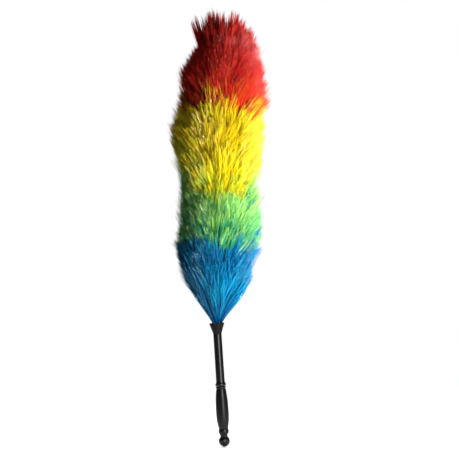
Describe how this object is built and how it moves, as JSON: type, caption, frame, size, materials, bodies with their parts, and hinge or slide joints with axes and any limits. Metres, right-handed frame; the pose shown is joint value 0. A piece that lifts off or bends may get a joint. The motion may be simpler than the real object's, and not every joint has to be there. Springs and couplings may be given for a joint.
{
  "type": "feather duster",
  "caption": "Hand duster with a long colour-banded head of silky plastic fibres on a springy core and a turned black handle with a hanging hole.",
  "frame": {"origin": "centre of the ball at the foot of the handle, which is the middle of the hanging hole", "axes": "+Z along the handle towards the head; the hanging hole runs along Y; the head leans 5 degrees towards +X"},
  "size_m": [0.1537, 0.1404, 0.6791],
  "materials": {
    "grip_plastic": "satin black moulding",
    "neck_plastic": "gloss black moulding",
    "collar_plastic": "matte black moulding",
    "core_plastic": "natural extruded plastic",
    "steel": "drawn wire",
    "binding_cord": "twisted cord",
    "blue_strip": "fused fibre edge",
    "green_strip": "fused fibre edge",
    "yellow_strip": "fused fibre edge",
    "red_strip": "fused fibre edge",
    "blue_fibre": "silky split fibre",
    "green_fibre": "silky split fibre",
    "yellow_fibre": "silky split fibre",
    "red_fibre": "silky split fibre"
  },
  "bodies": {
    "root": {"end_knob": "grip_plastic", "grip": "grip_plastic", "neck_tube": "neck_plastic", "collar": "collar_plastic", "core_rod": "core_plastic", "core_wire": "steel", "rod_pin": "steel", "stop_ring": "core_plastic", "tip_cap": "core_plastic", "foot_binding": "binding_cord", "strip_staples": "steel", "blue_strip": "blue_strip", "blue_fibres": "blue_fibre", "green_strip": "green_strip", "green_fibres": "green_fibre", "yellow_strip": "yellow_strip", "yellow_fibres": "yellow_fibre", "red_strip": "red_strip", "red_fibres": "red_fibre"}
  },
  "joints": []
}
